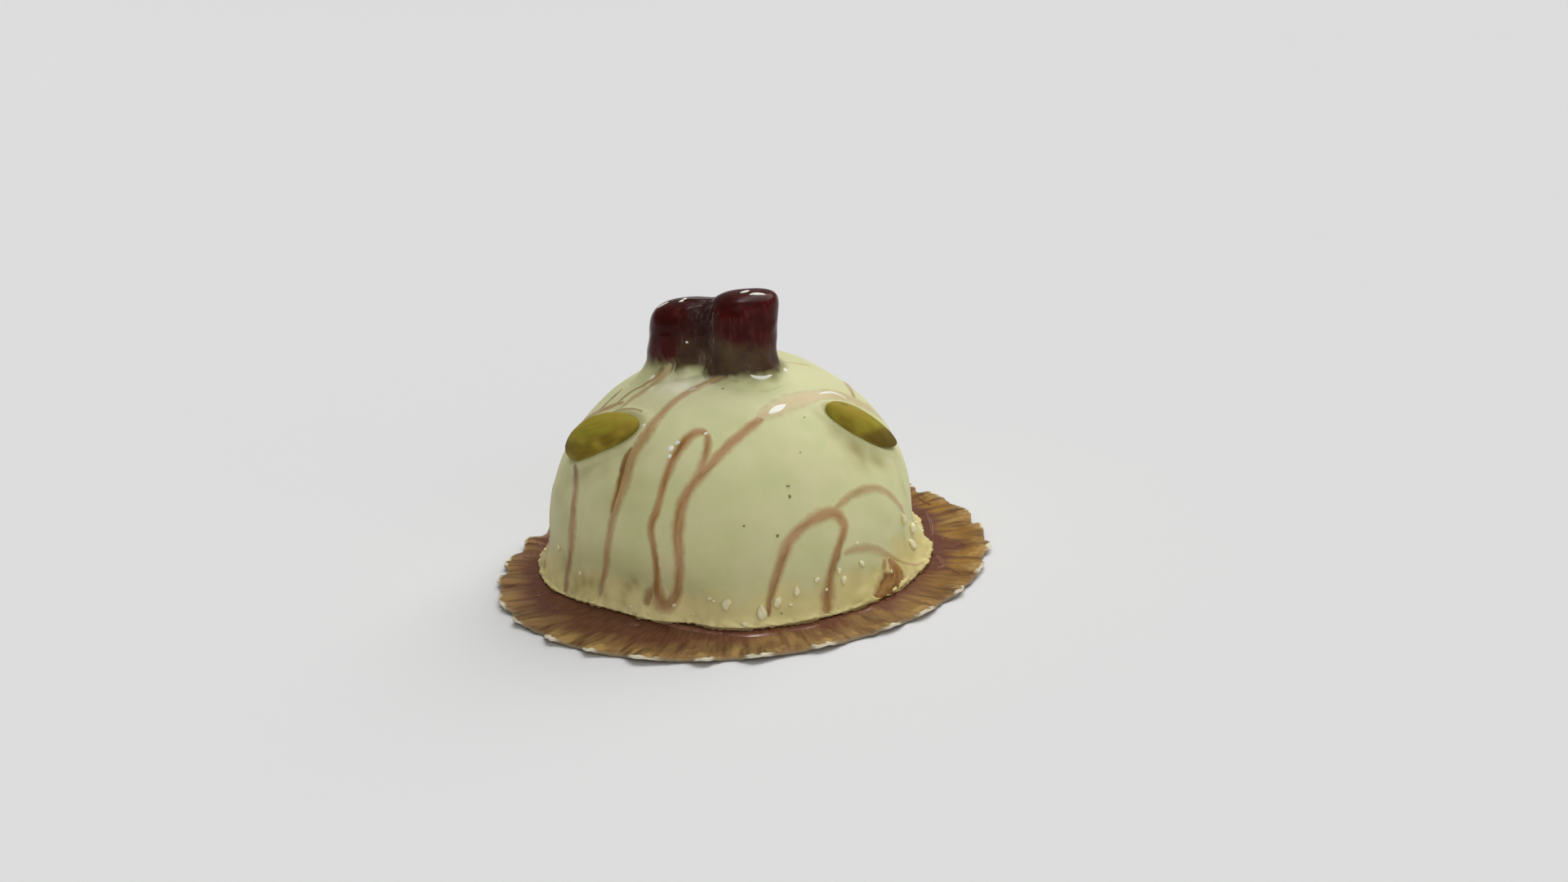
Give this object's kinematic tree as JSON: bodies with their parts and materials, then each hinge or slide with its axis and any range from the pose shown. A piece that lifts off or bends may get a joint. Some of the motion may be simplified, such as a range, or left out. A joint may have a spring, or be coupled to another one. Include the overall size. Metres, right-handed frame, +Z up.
{
  "type": "pistachio cake",
  "caption": "Small domed mousse cake under a pale pistachio glaze with chocolate drizzle, glazed cherries and pistachios on top, standing on its round fluted gilt card.",
  "frame": {"origin": "middle of the card's underside, on the table", "axes": "+Z up; -Y towards the viewer of the picture; +X to the viewer's right"},
  "size_m": [0.1014, 0.1014, 0.057],
  "materials": {
    "gilt_board": "gilt foil on board, pressed into flutes, satin, darkened where syrup has soaked in",
    "pistachio_glaze": "opaque pale green-cream mirror glaze, glossy, thicker and yellower at the foot",
    "cherry_flesh": "dark red candied fruit under clear syrup, glossy and slightly translucent",
    "pistachio_kernel": "yellow-green nut with fine lengthwise wrinkles, satin under a thin glaze",
    "milk_chocolate": "thin drizzled milk chocolate and caramel, semi-gloss, soft edged"
  },
  "bodies": {
    "root": {"gilt_card": "gilt_board", "cake": "pistachio_glaze", "cherry_right": "cherry_flesh", "cherry_left": "cherry_flesh", "pistachio_left": "pistachio_kernel", "pistachio_right": "pistachio_kernel", "pistachio_back": "pistachio_kernel"}
  },
  "joints": []
}
